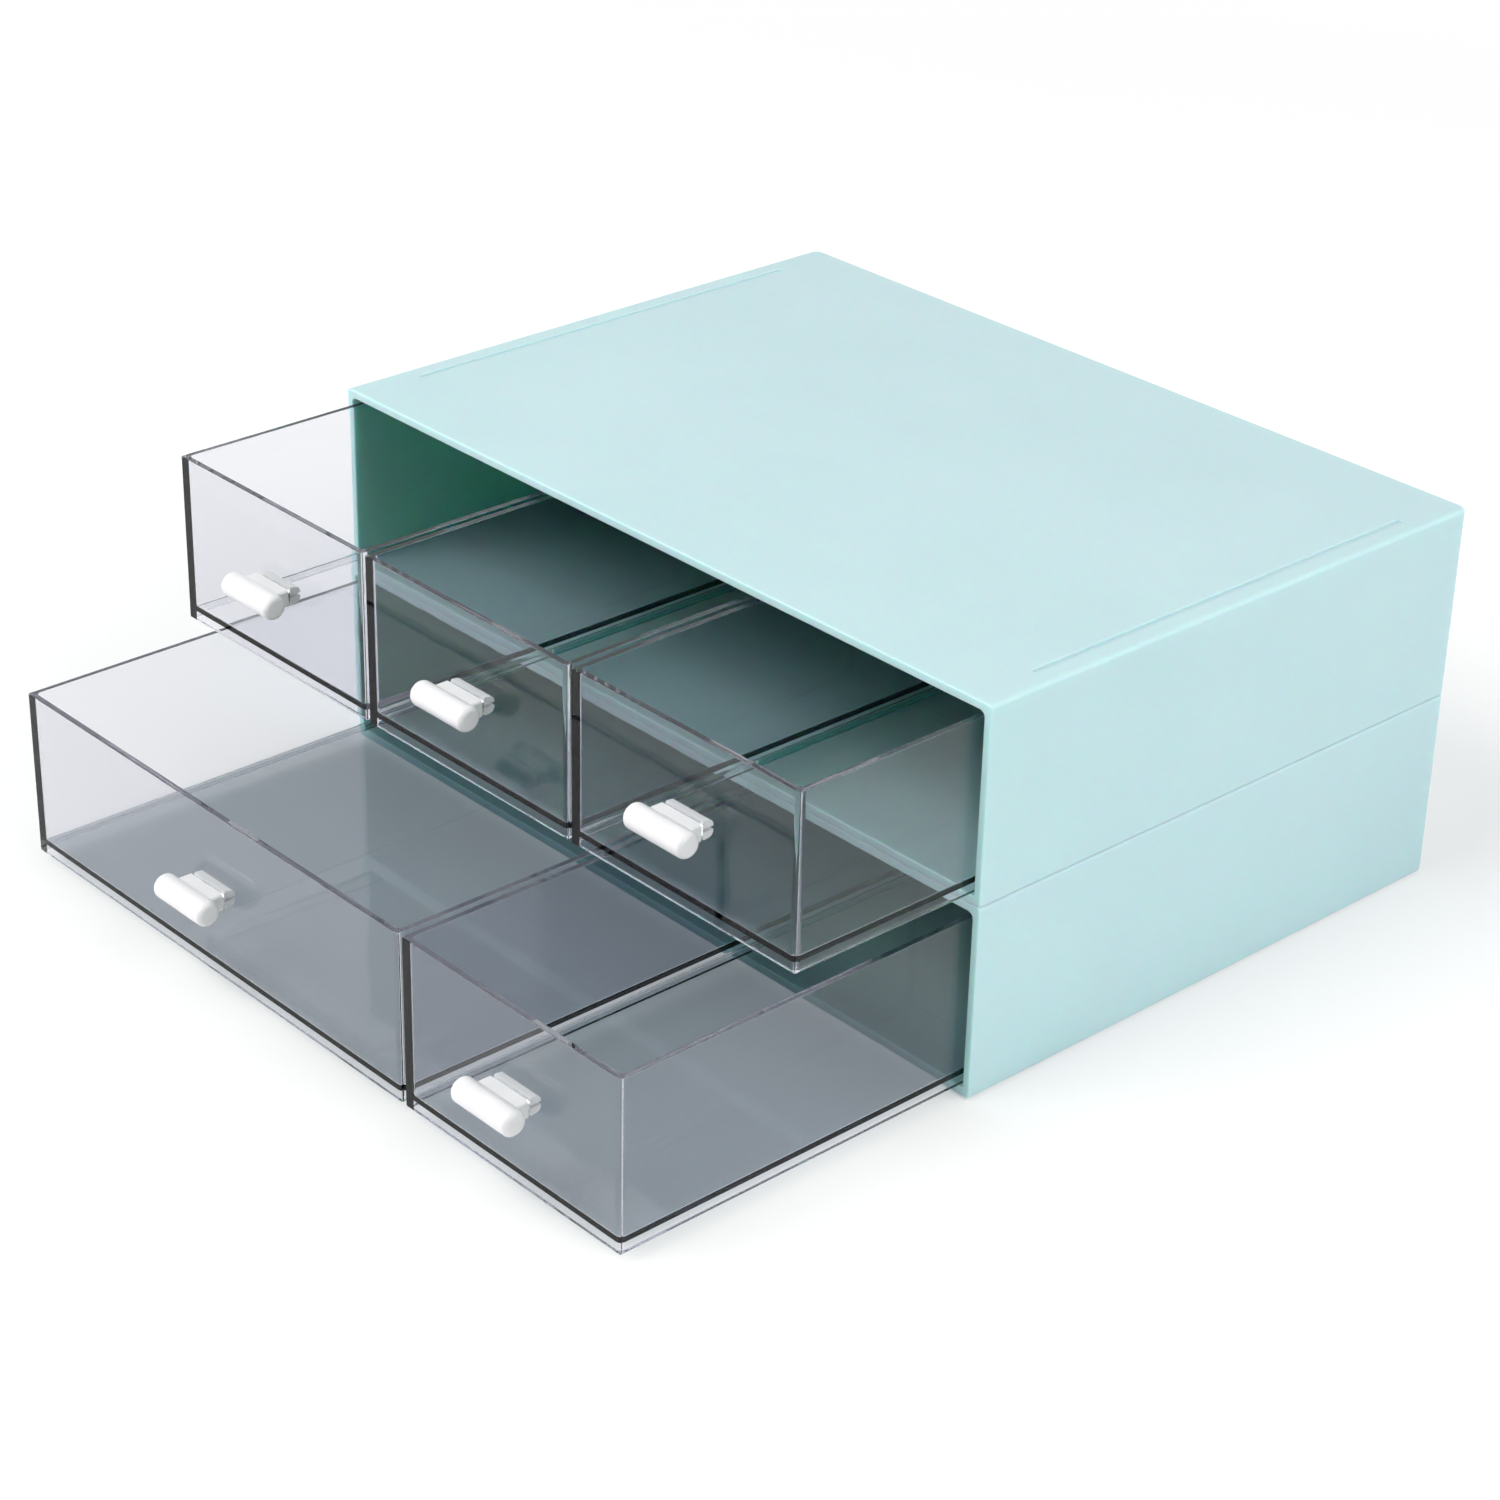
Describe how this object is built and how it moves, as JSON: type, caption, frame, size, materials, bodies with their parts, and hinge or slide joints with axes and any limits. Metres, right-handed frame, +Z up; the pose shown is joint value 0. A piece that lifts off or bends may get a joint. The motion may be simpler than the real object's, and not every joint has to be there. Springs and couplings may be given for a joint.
{
  "type": "desktop drawer organizer",
  "caption": "Stackable desktop organizer: pastel open-fronted case units holding clear sliding drawers with white round-bar snap-in pulls, for stationery and small items.",
  "frame": {"origin": "midway between the two ribs that the lower case stands on, at table level, under the centre of the case", "axes": "+X to the right along the width, seen from the front; +Y from the front to the back, so the drawers open along -Y; +Z up"},
  "size_m": [0.26, 0.3085, 0.1135],
  "materials": {
    "case": "satin pale mint moulded plastic",
    "drawer": "clear, lightly smoke-tinted polished plastic",
    "handle": "gloss white moulded plastic"
  },
  "bodies": {
    "lower_case": {"lower_case": "case"},
    "upper_case": {"upper_case": "case"},
    "upper_left_drawer": {"upper_left_drawer": "drawer", "upper_left_handle": "handle"},
    "upper_middle_drawer": {"upper_middle_drawer": "drawer", "upper_middle_handle": "handle"},
    "upper_right_drawer": {"upper_right_drawer": "drawer", "upper_right_handle": "handle"},
    "lower_wide_drawer": {"lower_wide_drawer": "drawer", "lower_wide_handle": "handle"},
    "lower_narrow_drawer": {"lower_narrow_drawer": "drawer", "lower_narrow_handle": "handle"}
  },
  "joints": [
    {"name": "upper_case_lift", "type": "slide", "parent": "lower_case", "child": "upper_case", "axis": [0, 0, 1], "range_m": [0, 0.04]},
    {"name": "upper_left_slide", "type": "slide", "parent": "upper_case", "child": "upper_left_drawer", "axis": [0, -1, 0], "range_m": [-0.0595, 0.0905]},
    {"name": "upper_middle_slide", "type": "slide", "parent": "upper_case", "child": "upper_middle_drawer", "axis": [0, -1, 0], "range_m": [-0.0595, 0.0905]},
    {"name": "upper_right_slide", "type": "slide", "parent": "upper_case", "child": "upper_right_drawer", "axis": [0, -1, 0], "range_m": [-0.0595, 0.0905]},
    {"name": "lower_wide_slide", "type": "slide", "parent": "lower_case", "child": "lower_wide_drawer", "axis": [0, -1, 0], "range_m": [-0.1135, 0.0365]},
    {"name": "lower_narrow_slide", "type": "slide", "parent": "lower_case", "child": "lower_narrow_drawer", "axis": [0, -1, 0], "range_m": [-0.1135, 0.0365]}
  ]
}
